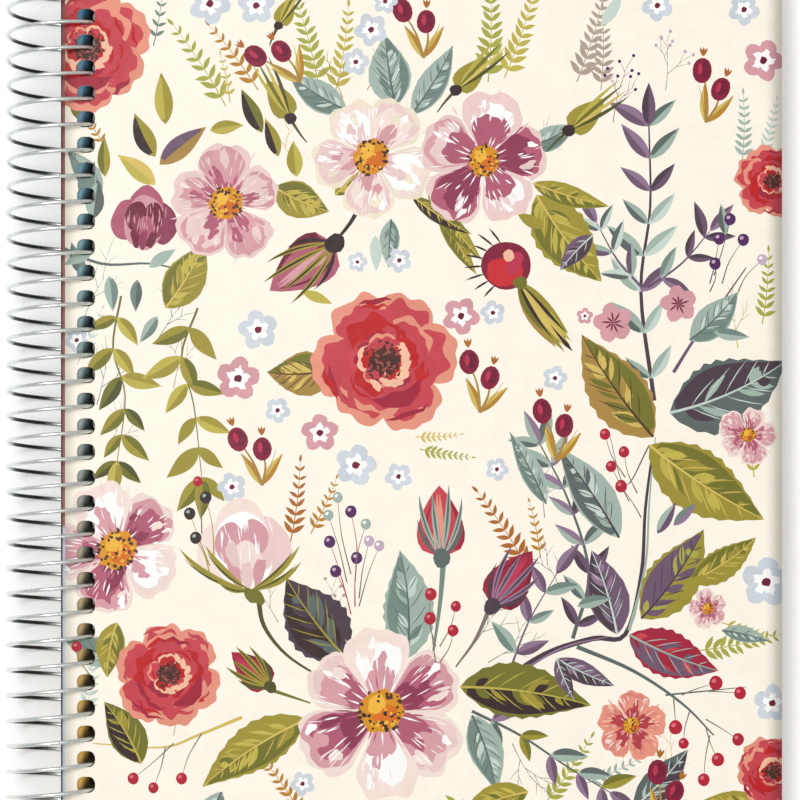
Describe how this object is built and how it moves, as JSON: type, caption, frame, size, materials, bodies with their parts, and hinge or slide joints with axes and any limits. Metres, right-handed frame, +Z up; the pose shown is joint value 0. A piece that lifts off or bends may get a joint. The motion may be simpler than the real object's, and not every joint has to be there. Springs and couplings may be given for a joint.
{
  "type": "spiral bound calendar book",
  "caption": "Closed calendar planner book: floral laminated covers and dated leaves bound along the spine by one spiral wire coil; cover and leaves turn over.",
  "frame": {"origin": "under the middle of the whole object, on the plane that the coil's lowest point touches", "axes": "+X from the spine to the fore edge, +Y to the head of the page, +Z up through the front cover"},
  "size_m": [0.1932, 0.2286, 0.0243],
  "materials": {
    "front_cover_print": "printed card with a satin laminate",
    "back_cover_print": "printed card with a satin laminate",
    "title_print": "printed card, satin",
    "month_paper": "matt printed paper",
    "leaf_paper": "matt printed paper",
    "coil_wire": "bright nickel-plated round wire"
  },
  "bodies": {
    "back": {"back_cover": "back_cover_print", "notes_leaves": "leaf_paper"},
    "month_12": {"month_leaf_12": "month_paper", "week_leaves_12": "leaf_paper"},
    "month_11": {"month_leaf_11": "month_paper", "week_leaves_11": "leaf_paper"},
    "month_10": {"month_leaf_10": "month_paper", "week_leaves_10": "leaf_paper"},
    "month_09": {"month_leaf_09": "month_paper", "week_leaves_09": "leaf_paper"},
    "month_08": {"month_leaf_08": "month_paper", "week_leaves_08": "leaf_paper"},
    "month_07": {"month_leaf_07": "month_paper", "week_leaves_07": "leaf_paper"},
    "month_06": {"month_leaf_06": "month_paper", "week_leaves_06": "leaf_paper"},
    "month_05": {"month_leaf_05": "month_paper", "week_leaves_05": "leaf_paper"},
    "month_04": {"month_leaf_04": "month_paper", "week_leaves_04": "leaf_paper"},
    "month_03": {"month_leaf_03": "month_paper", "week_leaves_03": "leaf_paper"},
    "month_02": {"month_leaf_02": "month_paper", "week_leaves_02": "leaf_paper"},
    "month_01": {"month_leaf_01": "month_paper", "week_leaves_01": "leaf_paper"},
    "year": {"year_leaf": "month_paper"},
    "title": {"title_sheet": "title_print"},
    "front": {"front_cover": "front_cover_print", "spiral_coil": "coil_wire"}
  },
  "joints": [
    {"name": "turn_month_12", "type": "hinge", "parent": "back", "child": "month_12", "pos_m": [-0.08449, 0, 0.01215], "axis": [0, -1, 0], "range_deg": [0, 180]},
    {"name": "turn_month_11", "type": "hinge", "parent": "month_12", "child": "month_11", "pos_m": [-0.08449, 0, 0.01215], "axis": [0, -1, 0], "range_deg": [0, 180]},
    {"name": "turn_month_10", "type": "hinge", "parent": "month_11", "child": "month_10", "pos_m": [-0.08449, 0, 0.01215], "axis": [0, -1, 0], "range_deg": [0, 180]},
    {"name": "turn_month_09", "type": "hinge", "parent": "month_10", "child": "month_09", "pos_m": [-0.08449, 0, 0.01215], "axis": [0, -1, 0], "range_deg": [0, 180]},
    {"name": "turn_month_08", "type": "hinge", "parent": "month_09", "child": "month_08", "pos_m": [-0.08449, 0, 0.01215], "axis": [0, -1, 0], "range_deg": [0, 180]},
    {"name": "turn_month_07", "type": "hinge", "parent": "month_08", "child": "month_07", "pos_m": [-0.08449, 0, 0.01215], "axis": [0, -1, 0], "range_deg": [0, 180]},
    {"name": "turn_month_06", "type": "hinge", "parent": "month_07", "child": "month_06", "pos_m": [-0.08449, 0, 0.01215], "axis": [0, -1, 0], "range_deg": [0, 180]},
    {"name": "turn_month_05", "type": "hinge", "parent": "month_06", "child": "month_05", "pos_m": [-0.08449, 0, 0.01215], "axis": [0, -1, 0], "range_deg": [0, 180]},
    {"name": "turn_month_04", "type": "hinge", "parent": "month_05", "child": "month_04", "pos_m": [-0.08449, 0, 0.01215], "axis": [0, -1, 0], "range_deg": [0, 180]},
    {"name": "turn_month_03", "type": "hinge", "parent": "month_04", "child": "month_03", "pos_m": [-0.08449, 0, 0.01215], "axis": [0, -1, 0], "range_deg": [0, 180]},
    {"name": "turn_month_02", "type": "hinge", "parent": "month_03", "child": "month_02", "pos_m": [-0.08449, 0, 0.01215], "axis": [0, -1, 0], "range_deg": [0, 180]},
    {"name": "turn_month_01", "type": "hinge", "parent": "month_02", "child": "month_01", "pos_m": [-0.08449, 0, 0.01215], "axis": [0, -1, 0], "range_deg": [0, 180]},
    {"name": "turn_year_leaf", "type": "hinge", "parent": "month_01", "child": "year", "pos_m": [-0.08449, 0, 0.01215], "axis": [0, -1, 0], "range_deg": [0, 180]},
    {"name": "turn_title_sheet", "type": "hinge", "parent": "year", "child": "title", "pos_m": [-0.08449, 0, 0.01215], "axis": [0, -1, 0], "range_deg": [0, 180]},
    {"name": "open_front_cover", "type": "hinge", "parent": "title", "child": "front", "pos_m": [-0.08449, 0, 0.01215], "axis": [0, -1, 0], "range_deg": [0, 180]}
  ]
}
